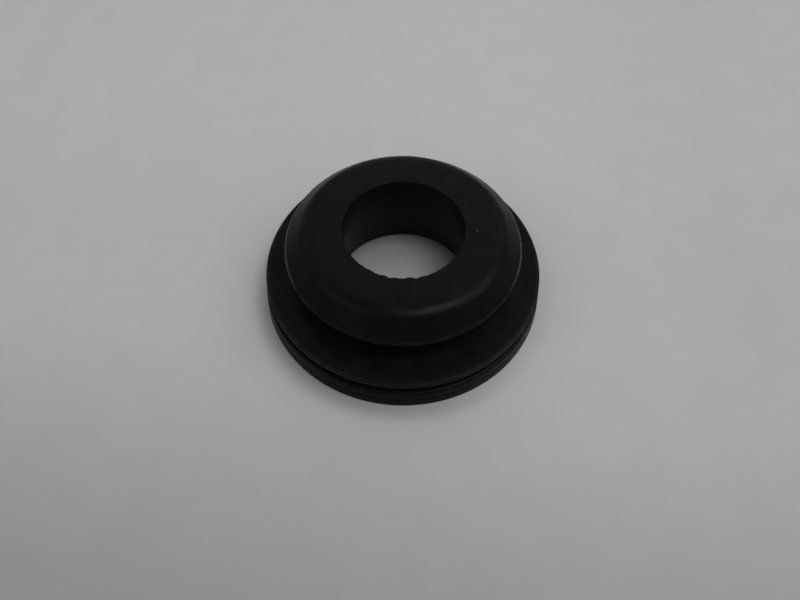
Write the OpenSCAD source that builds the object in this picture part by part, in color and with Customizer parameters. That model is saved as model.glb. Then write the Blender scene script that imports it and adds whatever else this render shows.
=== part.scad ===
// Rubber grommet: a bored head that snaps through a panel, a neck that sits in the
// panel's hole, and a wide flange with a grooved rim. One moulding, standing on its flange.
// Millimetres. The bore's axis is Z, and the flat underside of the flange is at z = 0.

/* [Bore] */
// Diameter of the through bore
bore_d = 15.9; // [12:0.1:18]
// Round on the bore's bottom edge
bore_bottom_round = 1.4; // [0.1:0.1:2]
// Round on the bore's mouth in the head
bore_mouth_round = 0.15; // [0.05:0.05:0.5]

/* [Flange] */
// Diameter of the flange at its foot, its widest place
foot_d = 39.2; // [38.8:0.1:41]
// Round on the edge of the foot
foot_round = 0.2; // [0.05:0.05:0.5]
// Diameter of the lower rib at its top
rib_top_d = 38.5; // [38.2:0.1:39]
// Height of the lower rib
rib_h = 2.8; // [2.4:0.1:3.2]
// Round on the rib's upper shoulder
rib_round = 0.35; // [0.2:0.05:0.8]
// Diameter at the bottom of the groove in the rim
groove_d = 36; // [34:0.1:36.2]
// Width of the groove in the rim
groove_w = 1.15; // [0.6:0.05:1.5]
// Fillet at the bottom of the groove
groove_fillet = 0.25; // [0.05:0.05:0.25]
// Diameter of the thin upper lip
lip_d = 38; // [37.6:0.1:40]
// Thickness of the upper lip
lip_t = 0.75; // [0.6:0.05:1.5]
// Round on the lip's edges
lip_round = 0.2; // [0.05:0.05:0.35]

/* [Mould line] */
// Height of the faint mould line round the lower rib
mould_line_z = 1.5; // [0.9:0.05:1.7]
// Radius of the line's section, which is sunk by half of it
mould_line_r = 0.15; // [0.05:0.05:0.25]

/* [Neck] */
// Diameter of the neck, which is that of the hole it fits
neck_d = 25.4; // [24:0.1:26.5]
// Length of the neck between the flange and the head, the thickest panel it takes
neck_l = 4.15; // [2:0.05:8]
// Fillet at each end of the neck
neck_fillet = 0.6; // [0.1:0.1:0.9]

/* [Head] */
// Widest diameter of the head
head_d = 31.5; // [29.5:0.1:34]
// Height of the straight land round the head's widest edge
head_land = 0.6; // [0.55:0.05:1]
// Round between the bevel and the land
head_edge_round = 0.5; // [0.1:0.1:0.5]
// Round between the land and the underside of the head
head_back_round = 0.2; // [0.05:0.05:0.2]
// Diameter of the flat top, out to where the bevel meets it
shoulder_d = 26.3; // [25:0.1:27.5]
// Height of the bevel above the land
bevel_h = 2.75; // [1.8:0.05:4]
// Round between the bevel and the flat top
shoulder_round = 2.2; // [0.2:0.1:2.6]

/* [Hidden] */

$fn = 180;

// How far the waste at a corner reaches past it, as a share of the round's radius
PAST_CORNER = 0.4;
// How far a round runs over the sides that it joins
HAIR = 0.0002;

lip_z = rib_h + groove_w;
flange_h = lip_z + lip_t;
head_z = flange_h + neck_l;
land_top_z = head_z + head_land;
height = land_top_z + bevel_h;

// The moulding's half section as sharp corners, with the material on the left of each side.
// Each corner is [radius, height, round].
SECTION = [
    [bore_d / 2, 0, bore_bottom_round],
    [foot_d / 2, 0, foot_round],
    [rib_top_d / 2, rib_h, rib_round],
    [groove_d / 2, rib_h, groove_fillet],
    [groove_d / 2, lip_z, groove_fillet],
    [lip_d / 2, lip_z, lip_round],
    [lip_d / 2, flange_h, lip_round],
    [neck_d / 2, flange_h, neck_fillet],
    [neck_d / 2, head_z, neck_fillet],
    [head_d / 2, head_z, head_back_round],
    [head_d / 2, land_top_z, head_edge_round],
    [shoulder_d / 2, height, shoulder_round],
    [bore_d / 2, height, bore_mouth_round],
];

// Corner i of the section, counted round and round
function corner(i) = SECTION[(i + len(SECTION)) % len(SECTION)];

// Where corner i is, and the round that it gets
function place(i) = [corner(i)[0], corner(i)[1]];
function round_r(i) = corner(i)[2];

// A vector's direction, with a length of 1
function unit(v) = v / norm(v);

// The direction from corner i to the corner before it (step -1) or after it (step 1)
function toward(i, step) = unit(place(i + step) - place(i));

// Does the outline turn left at corner i, which makes the corner stand out?
function stands_out(i) = cross(toward(i - 1, 1), toward(i, 1)) > 0;

// Half the angle between the two sides that meet at corner i
function half_angle(i) = acos(toward(i, -1) * toward(i, 1)) / 2;

// The centre of the round at corner i, and the point where it touches one of its sides
function centre(i) = place(i) + unit(toward(i, -1) + toward(i, 1)) * round_r(i) / sin(half_angle(i));
function touch(i, step) = place(i) + toward(i, step) * round_r(i) / tan(half_angle(i));

// A corner that stands out is left sharp here. An inner one is filled straight across.
function rough_corner(i) = stands_out(i) ? [place(i)] : [touch(i, -1), touch(i, 1)];

// The circle that the round at corner i is part of. It runs over its sides by a hair, to meet them cleanly.
module round_circle(i) {
    translate(centre(i)) circle(round_r(i) + HAIR);
}

// What is cut from corner i, which stands out: all that is past its round
module corner_waste(i) {
    difference() {
        polygon([
            for (p = [touch(i, -1), place(i), touch(i, 1)]) p + (p - centre(i)) * PAST_CORNER,
            centre(i),
        ]);
        round_circle(i);
    }
}

// Radius of the lower rib's tapered wall at a height
function rib_wall_r(z) = (foot_d + (rib_top_d - foot_d) * z / rib_h) / 2;

// The half section with its rounds, its fillets and the mould line
module section() {
    difference() {
        polygon([for (i = [0 : len(SECTION) - 1]) each rough_corner(i)]);
        for (i = [0 : len(SECTION) - 1])
            if (stands_out(i)) corner_waste(i); else round_circle(i);
        translate([rib_wall_r(mould_line_z) + mould_line_r / 2, mould_line_z]) circle(mould_line_r);
    }
}

module grommet() {
    color([0.05, 0.055, 0.06]) rotate_extrude() section();
}

grommet();
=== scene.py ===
"""A black rubber grommet standing on its flange on a sheet of pale paper.

Everything is in metres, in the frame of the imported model: the bore's axis is Z,
and the flat underside of the flange lies at z = 0.
"""

import math

import bmesh
import bpy
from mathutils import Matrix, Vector, noise


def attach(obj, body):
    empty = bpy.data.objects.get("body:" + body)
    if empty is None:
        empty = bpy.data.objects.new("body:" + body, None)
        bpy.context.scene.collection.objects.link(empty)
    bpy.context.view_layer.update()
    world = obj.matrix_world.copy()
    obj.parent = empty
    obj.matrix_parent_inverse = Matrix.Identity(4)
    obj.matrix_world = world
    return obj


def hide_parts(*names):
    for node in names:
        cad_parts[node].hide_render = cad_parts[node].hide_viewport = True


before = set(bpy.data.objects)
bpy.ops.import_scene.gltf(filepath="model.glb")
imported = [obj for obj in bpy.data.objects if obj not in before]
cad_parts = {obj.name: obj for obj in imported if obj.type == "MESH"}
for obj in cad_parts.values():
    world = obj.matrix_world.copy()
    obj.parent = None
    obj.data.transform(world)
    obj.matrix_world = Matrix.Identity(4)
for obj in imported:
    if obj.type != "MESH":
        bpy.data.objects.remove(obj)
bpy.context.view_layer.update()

# ---------------------------------------------------------------- camera
# A small wide lens held close over the part, a hand's width away, so that the head
# looks large against the flange. It leans a little to one side, as a hand does.
camera_data = bpy.data.cameras.new("camera")
camera_data.sensor_width = 36
camera_data.lens = 27
camera_data.clip_start = 0.005
camera = bpy.data.objects.new("camera", camera_data)
camera.location = (0, -0.049649, 0.072612)
camera.rotation_euler = [math.radians(a) for a in (32.498, -0.273, 0.854)]
bpy.context.collection.objects.link(camera)
bpy.context.scene.camera = camera

# ---------------------------------------------------------------- moulding
# The whole grommet is one moulding in black rubber: a wide flange with a grooved
# rim, a neck for the panel's hole and a bevelled head, with a bore right through.
# It is spun from its section, and then gets the flaws of the real one.
MM = 0.001
SPIN_STEPS = 360
LONGEST_EDGE = 0.5           # the section's sides are cut this short, in mm, to be shaped later
ROUND_STEPS = 5
BIG_ROUND = 0.5              # a bigger round, in mm, gets twice the steps

# Each corner of the section: radius, height and the round or fillet on it, in mm.
CORNERS = (
    (8.55, 0.00, 0.40),      # bore, which widens to its bottom edge
    (19.60, 0.00, 0.20),     # foot, the widest place
    (19.43, 1.36, 0.05),     # mould line, a shallow notch round the rib
    (19.34, 1.50, 0.12),
    (19.39, 1.64, 0.05),
    (19.25, 2.80, 0.35),     # top of the rib
    (18.00, 2.80, 0.25),     # groove
    (18.00, 3.95, 0.25),
    (19.00, 3.95, 0.20),     # lip
    (19.00, 4.70, 0.20),
    (12.70, 4.70, 0.60),     # neck
    (12.70, 8.85, 0.60),
    (15.75, 8.85, 0.20),     # head, the edge that snaps through the panel
    (15.75, 9.45, 0.50),
    (13.15, 12.20, 2.20),    # shoulder between the bevel and the top
    (7.95, 12.20, 0.15),     # bore, mouth
)


def touch_length(i):
    """How far from corner i its round meets the two sides, in mm."""
    here, before, after = (Vector(CORNERS[j % len(CORNERS)][:2]) for j in (i, i - 1, i + 1))
    return CORNERS[i][2] / math.tan((before - here).angle(after - here) / 2)


mesh = bmesh.new()
corners = [mesh.verts.new((r * MM, 0, z * MM)) for r, z, _ in CORNERS]
mesh.faces.new(corners)
for i, corner in enumerate(corners):
    steps = 2 * ROUND_STEPS if CORNERS[i][2] > BIG_ROUND else ROUND_STEPS
    bmesh.ops.bevel(mesh, geom=[corner], offset=touch_length(i) * MM, affect='VERTICES',
                    segments=steps, profile=0.5, material=-1)
bmesh.ops.delete(mesh, geom=mesh.faces[:], context='FACES_ONLY')
for edge in [e for e in mesh.edges if e.calc_length() > LONGEST_EDGE * MM]:
    cuts = int(edge.calc_length() / (LONGEST_EDGE * MM))
    bmesh.ops.subdivide_edges(mesh, edges=[edge], cuts=cuts)
bmesh.ops.spin(mesh, geom=mesh.verts[:] + mesh.edges[:], cent=(0, 0, 0), axis=(0, 0, 1),
               dvec=(0, 0, 0), angle=2 * math.pi, steps=SPIN_STEPS, use_merge=True)

# The mouth gets a finer mesh, twice as many steps round, for the flaws on its edge.
MOUTH_R, MOUTH_Z = 7.95, 12.20
FINE_OUT, FINE_DOWN = 1.2, 1.0       # how far the finer mesh reaches from the mouth, in mm
LEVEL = 0.001                        # an edge that rises or widens less than this runs round, in mm
bmesh.ops.subdivide_edges(mesh, cuts=1, edges=[
    e for e in mesh.edges
    if max(v.co.xy.length for v in e.verts) < (MOUTH_R + FINE_OUT) * MM
    and min(v.co.z for v in e.verts) > (MOUTH_Z - FINE_DOWN) * MM
    and abs(e.verts[0].co.z - e.verts[1].co.z) < LEVEL * MM
    and abs(e.verts[0].co.xy.length - e.verts[1].co.xy.length) < LEVEL * MM])
bmesh.ops.recalc_face_normals(mesh, faces=mesh.faces[:])

# Where the waste in the mouth was torn away. Each flaw: the place round the edge in
# degrees, half its width, and how far the edge stands back, or over the bore if less
# than 0, in mm.
MOUTH_FLAWS = (
    (231, 3.5, -0.06), (240, 5.5, -0.10), (253, 4.0, -0.07), (258.7, 3.0, 0.13),
    (264, 4.0, -0.04), (276, 5.0, -0.17), (282.3, 3.8, 0.16), (292, 5.0, 0.07),
    (299.5, 3.0, 0.09), (307, 2.0, 0.04), (312, 3.0, 0.03),
)
MOUTH_REACH = 1.0                    # how far the mouth's unevenness reaches into the rubber, in mm
MOUTH_ROUGH, MOUTH_FINENESS = 0.04, 22


def ragged(turn, fineness, seed):
    """Uneven values, mostly within 0.5 of 0, that go round the axis with a turn in degrees."""
    angle = math.radians(turn)
    return noise.noise((math.cos(angle) * fineness, math.sin(angle) * fineness, seed))


def mouth_edge(turn):
    """How far the mouth's edge stands back from its true circle at a turn in degrees, in mm."""
    back = MOUTH_ROUGH * ragged(turn, MOUTH_FINENESS, 0)
    for place, half, depth in MOUTH_FLAWS:
        away = abs((turn - place + 180) % 360 - 180) / half
        if away < 1:
            back += depth * (1 - away * away) ** 2
    return back


def part_way(value, nothing, full):
    """0 at and beyond the value called nothing, 1 at and beyond full, and even in between."""
    return min(1, max(0, (value - nothing) / (full - nothing)))


# The top falls away a little towards its shoulder. It is a little wavy, and so is the bevel,
# as rubber is when it is pulled warm from the mould. All sizes are in mm.
FLAT_R, FALL_R, FALL = 10.0, 12.5, 0.02      # it falls from the first radius to the second
WAVE, WAVE_FINENESS, WAVE_SINK = 0.03, 0.35, 0.7
LAND_TOP, WAVY_FROM = 9.45, 11.45            # between these heights the waves grow
# The head's widest edge has small nicks.
EDGE_R, EDGE_Z, EDGE_REACH = 15.75, 9.10, 0.7
NICK, NICK_FINENESS, NICK_FLOOR = 0.28, 28, 0.1
# The bore's bottom is drawn out to both sides, most at the underside.
SPREAD, SPREAD_TOP = 0.60, 8                 # how far, and the height where it ends
BORE_OUT_R, UNDERSIDE_Z = 11, 0.5            # the bore's wall and the underside lie within these
DRAWN_R, STILL_R = 10, 14                    # the underside follows less and less between these

for vert in mesh.verts:
    x, y, z = vert.co / MM
    r = math.hypot(x, y)
    turn = math.degrees(math.atan2(y, x))
    outward = Vector((x / r, y / r, 0))

    fall = FALL * max(0, min(r, FALL_R) - FLAT_R) ** 2
    wave = WAVE * (noise.noise(vert.co / MM * WAVE_FINENESS) - WAVE_SINK)
    vert.co.z += (wave - fall) * MM * part_way(z, LAND_TOP, WAVY_FROM)

    from_edge = math.hypot(r - EDGE_R, z - EDGE_Z)
    nick = NICK * max(0, ragged(turn, NICK_FINENESS, 5) - NICK_FLOOR)
    vert.co -= outward * MM * nick * part_way(from_edge, EDGE_REACH, 0)

    from_mouth = math.hypot(r - MOUTH_R, z - MOUTH_Z)
    if from_mouth < MOUTH_REACH:
        vert.co += outward * MM * mouth_edge(turn) * part_way(from_mouth, MOUTH_REACH, 0) ** 2

    if z < UNDERSIDE_Z or r < BORE_OUT_R:
        share = part_way(z, SPREAD_TOP, 0) * part_way(r, STILL_R, DRAWN_R)
        vert.co.x += SPREAD * MM * share * x / r

shape = bpy.data.meshes.new("grommet_moulding")
mesh.to_mesh(shape)
mesh.free()
shape.shade_smooth()
moulding = bpy.data.objects.new("grommet_moulding", shape)
bpy.context.collection.objects.link(moulding)

# Black rubber with hardly any shine of its own: a dense black ground and a satin skin.
# It is paler where handling has rubbed its edges and where a speck of dust lies. It is also
# painted paler: painted light lifts the shade in the bore, the groove and under the head, and
# painted highlights and glints lie on the sides of the head's edge, the lip and the rim.
rubber = bpy.data.materials.new("black_rubber")
rubber.use_nodes = True
nodes, links = rubber.node_tree.nodes, rubber.node_tree.links
skin = nodes["Principled BSDF"]
place = nodes.new("ShaderNodeTexCoord").outputs["Object"]


def add(kind, *sources, out=0, **settings):
    """Adds a node, and gives one of its outputs. Each source is a value or another node's output."""
    node = nodes.new("ShaderNode" + kind)
    for key, value in settings.items():
        setattr(node, key, value)
    for socket, source in zip(node.inputs, sources):
        if isinstance(source, bpy.types.NodeSocket):
            links.new(source, socket)
        elif source is not None:
            socket.default_value = source
    return node.outputs[out]


def fade(value, start, end, low, high):
    """Maps a value from start..end to low..high with a soft step, and holds it there beyond."""
    return add("MapRange", value, start, end, low, high, interpolation_type='SMOOTHSTEP')


def mottle(scale, detail, low, high):
    """Soft cloudy noise with spots of about 1/scale metres, spread over low..high."""
    return fade(add("TexNoise", place, None, scale, detail), 0.3, 0.7, low, high)


axes = nodes.new("ShaderNodeSeparateXYZ")
links.new(place, axes.inputs[0])
across, along, height = axes.outputs
radius = add("VectorMath", add("CombineXYZ", across, along, 0.0), operation='LENGTH', out=1)
section = add("CombineXYZ", radius, 0.0, height)
sideways = add("Math", add("Math", across, radius, operation='DIVIDE'), operation='ABSOLUTE')


def near(r, z, core, rim):
    """1 within core mm of the ring at radius r and height z mm, and 0 from rim mm on."""
    away = add("VectorMath", section, (r * MM, 0, z * MM), operation='DISTANCE', out=1)
    return fade(away, core * MM, rim * MM, 1.0, 0.0)


def times(*values):
    """The product of the values."""
    product = values[0]
    for value in values[1:]:
        product = add("Math", product, value, operation='MULTIPLY')
    return product


def from_point(x, y, z):
    """How far a place lies from the point x, y, z in mm, in metres."""
    return add("VectorMath", place, (x * MM, y * MM, z * MM), operation='DISTANCE', out=1)


# How pale each place is, where 1 is the grey of a rubbed edge. The land and the rib are worn and
# the speck is dust; the lip is worn and painted; the rest is painted light.
in_bore = times(fade(radius, 9.1 * MM, 9.3 * MM, 1, 0), fade(height, 11.9 * MM, 12.1 * MM, 1, 0))
pale_places = {
    # Painted light lifts the shade in the bore, most towards its bottom.
    "bore": times(in_bore, fade(height, 3 * MM, 11 * MM, 0.34, 0.03)),
    # Painted light lifts the shade in the groove, most at its left and right sides.
    "groove": times(near(18.0, 3.40, 0.5, 1.0), fade(sideways, 0, 0.8, 0.16, 0.5)),
    # A little painted light lifts the shade under the head, round the neck.
    "neck": times(near(14.6, 6.80, 1.8, 3.2), 0.06),
    # The lip's rim is worn paler, and a painted sheen makes it paler still towards its left and
    # right sides.
    "lip": times(near(19.0, 4.35, 0.4, 0.7), mottle(900, 3, 0.05, 0.18),
                 fade(sideways, 0, 0.8, 0.25, 1.1)),
    "land": times(near(15.7, 9.20, 0.35, 0.6), mottle(700, 3, 0.02, 0.12)),
    "rib": times(near(19.4, 1.60, 1.0, 1.6), mottle(1300, 3, -0.02, 0.08)),
    # A painted highlight, mottled, on the head's widest edge at its left and right sides only.
    "painted_highlight_on_widest_edge": times(near(15.65, 9.40, 0.12, 0.38), fade(sideways, 0.85, 1.0, 0, 1),
                         mottle(1200, 3, 0.7, 1.8)),
    # Painted glints, mottled, on the rim's right side only.
    "painted_glints_on_rim": times(near(19.2, 2.90, 1.4, 2.0), fade(across, 6 * MM, 16 * MM, 0, 1),
                         mottle(4500, 2, -0.15, 0.24)),
    "speck_of_dust": fade(from_point(9.55, -0.36, 12.2), 0.05 * MM, 0.14 * MM, 2, 0),
}
paleness = mottle(400, 4, -0.02, 0.03)
for value in pale_places.values():
    paleness = add("Math", paleness, value, operation='ADD')


def blend(share, first, second):
    """Mixes two colours, each an output or red, green and blue: all of the second at 1."""
    mix = nodes.new("ShaderNodeMix")
    mix.data_type = 'RGBA'
    links.new(share, mix.inputs["Factor"])
    for socket, colour in ((mix.inputs["A"], first), (mix.inputs["B"], second)):
        if isinstance(colour, bpy.types.NodeSocket):
            links.new(colour, socket)
        else:
            socket.default_value = (*colour, 1)
    return mix.outputs["Result"]


# The top is painted a cooler black than the sides: a painted tint of the cool light from above.
painted_cool_top = fade(height, 11.2 * MM, 12.1 * MM, 0, 1)
black = blend(painted_cool_top, (0.0027, 0.0029, 0.0026), (0.0026, 0.0029, 0.0032))      # bluer on top
# The grey of worn rubber, which also carries the painted light.
wear_and_painted_light_grey = (0.0435, 0.045, 0.0472)
links.new(blend(paleness, black, wear_and_painted_light_grey), skin.inputs["Base Color"])
polish = times(near(13.0, 12.00, 0.4, 1.3), 0.07)                              # on the shoulder
satin = add("Math", mottle(500, 5, 0.31, 0.39), polish, operation='SUBTRACT')
links.new(satin, skin.inputs["Roughness"])
skin.inputs["Specular IOR Level"].default_value = 0.055      # dull: a ninth of a plastic's shine
skin.inputs["Specular Tint"].default_value = (0.76, 0.89, 0.96, 1)
grain = nodes.new("ShaderNodeBump")
grain.inputs["Strength"].default_value = 0.35
grain.inputs["Distance"].default_value = 0.02 * MM
links.new(add("TexNoise", place, None, 900, 6), grain.inputs["Height"])
links.new(grain.outputs["Normal"], skin.inputs["Normal"])
shape.materials.append(rubber)

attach(moulding, "root")
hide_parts("grommet")

# ---------------------------------------------------------------- floor
# A round sheet of plain pale paper, with the grommet's soft shadow on it. Shade is painted into
# its colour: dimmer towards the front and a little to the right, a little brighter towards the back,
# dimmer still inside the bore, most so under the bore's far side, and along the foot on the front
# left; inside the bore it is also painted a cooler hue.
PAPER_R = 0.7
paper_mesh = bmesh.new()
bmesh.ops.create_circle(paper_mesh, segments=64, radius=PAPER_R, cap_ends=True)
paper_shape = bpy.data.meshes.new("paper")
paper_mesh.to_mesh(paper_shape)
paper_mesh.free()
paper = bpy.data.objects.new("paper", paper_shape)
bpy.context.collection.objects.link(paper)
white = bpy.data.materials.new("paper")
white.use_nodes = True
nodes, links = white.node_tree.nodes, white.node_tree.links
sheet = nodes["Principled BSDF"]
place = nodes.new("ShaderNodeTexCoord").outputs["Object"]


def toward(x, y):
    """How far a place lies from the axis in the direction x, y, in metres."""
    return add("VectorMath", place, (x, y, 0), operation='DOT_PRODUCT', out=1)


def dimmed(value):
    """What is left of the light after a share of it is taken away."""
    return add("Math", 1.0, value, operation='SUBTRACT')


from_axis, from_dark_side = from_point(0, 0, 0), from_point(-0.5, -1, 0)
# Painted shade on the paper inside the bore, deepest under its far side.
under_bore = fade(from_axis, 10 * MM, 12 * MM, 1, 0)
deep_shade = add("Math", fade(from_dark_side, 1 * MM, 8 * MM, -0.04, 0.30),
                 fade(from_dark_side, 7 * MM, 10.5 * MM, 0, 0.40), operation='ADD')
# A painted contact shadow along the foot on the front left.
painted_foot_shadow = times(fade(from_axis, 20 * MM, 22.5 * MM, 1, 0),
                fade(toward(-0.53, -0.85), 0, 20 * MM, 0, 0.30))
# The paper's painted shade: dimmer towards the front and the right and a little brighter towards the
# back, times the painted shade in the bore and at the foot.
shade = times(fade(toward(0.16, 1), -65 * MM, -5 * MM, 0.57, 1),
              fade(toward(0.1, 1), 0, 35 * MM, 1, 1.04),
              fade(toward(1, 0), 15 * MM, 60 * MM, 1, 0.92),
              mottle(150, 5, 0.985, 1.015),
              dimmed(times(under_bore, deep_shade)),
              dimmed(painted_foot_shadow))
# Inside the bore the paper is painted a cooler hue, a painted tint of the light there.
pale, painted_cool_tint_under_bore = (0.397, 0.398, 0.386), (0.392, 0.400, 0.396)
tone = add("VectorMath", blend(under_bore, pale, painted_cool_tint_under_bore), operation='SCALE')
links.new(shade, tone.node.inputs["Scale"])
links.new(tone, sheet.inputs["Base Color"])
sheet.inputs["Roughness"].default_value = 0.9
paper_shape.materials.append(white)

# ---------------------------------------------------------------- light
# A big soft lamp overhead, dimmer ones round the room at two heights, and its grey walls,
# which look a little brighter than the light they give.
LAMP_DISTANCE = 0.5
# Each lamp: its height above the floor and its turn round the part, how wide it looks
# from there, all in degrees, and how bright it is, where 1 is a plain white wall.
LAMPS = {
    "overhead": (75, 340, 26, 5.9),
    "right": (48, 0, 36, 2.1),
    "back_right": (48, 51, 36, 0.72),
    "back": (53, 100, 36, 0.68),
    "back_left": (48, 154, 36, 0.52),
    "left": (48, 206, 36, 1.0),
    "front_left": (48, 257, 36, 0.05),
    "front_right": (48, 309, 36, 0.15),
    "low_east": (22, 0, 36, 0.33),
    "low_north_east": (22, 45, 36, 0.33),
    "low_north": (22, 90, 36, 0.33),
    "low_north_west": (22, 135, 36, 0.33),
    "low_west": (22, 180, 36, 0.33),
    "low_south_west": (22, 225, 36, 0.33),
    "low_south_east": (22, 315, 36, 0.33),
}
for name, (rise, turn, wide, bright) in LAMPS.items():
    lamp = bpy.data.lights.new(name, 'AREA')
    lamp.shape = 'DISK'
    lamp.size = 2 * LAMP_DISTANCE * math.tan(math.radians(wide / 2))
    lamp.energy = bright * (math.pi * lamp.size / 2) ** 2
    up, round_part = math.radians(rise), math.radians(turn)
    outward = Vector((math.cos(up) * math.cos(round_part),
                      math.cos(up) * math.sin(round_part), math.sin(up)))
    lamp_object = bpy.data.objects.new(name, lamp)
    lamp_object.location = outward * LAMP_DISTANCE
    lamp_object.rotation_euler = outward.to_track_quat('Z', 'Y').to_euler()
    lamp_object.visible_camera = False
    bpy.context.collection.objects.link(lamp_object)

world = bpy.data.worlds.new("room")
world.use_nodes = True
nodes, links = world.node_tree.nodes, world.node_tree.links
nodes["Background"].inputs["Color"].default_value = (1, 1, 1, 1)
seen = add("LightPath")              # 1 where the walls themselves are looked at
links.new(add("MapRange", seen, 0.0, 1.0, 0.25, 0.33), nodes["Background"].inputs["Strength"])
bpy.context.scene.world = world

bpy.context.scene.view_settings.view_transform = 'Standard'
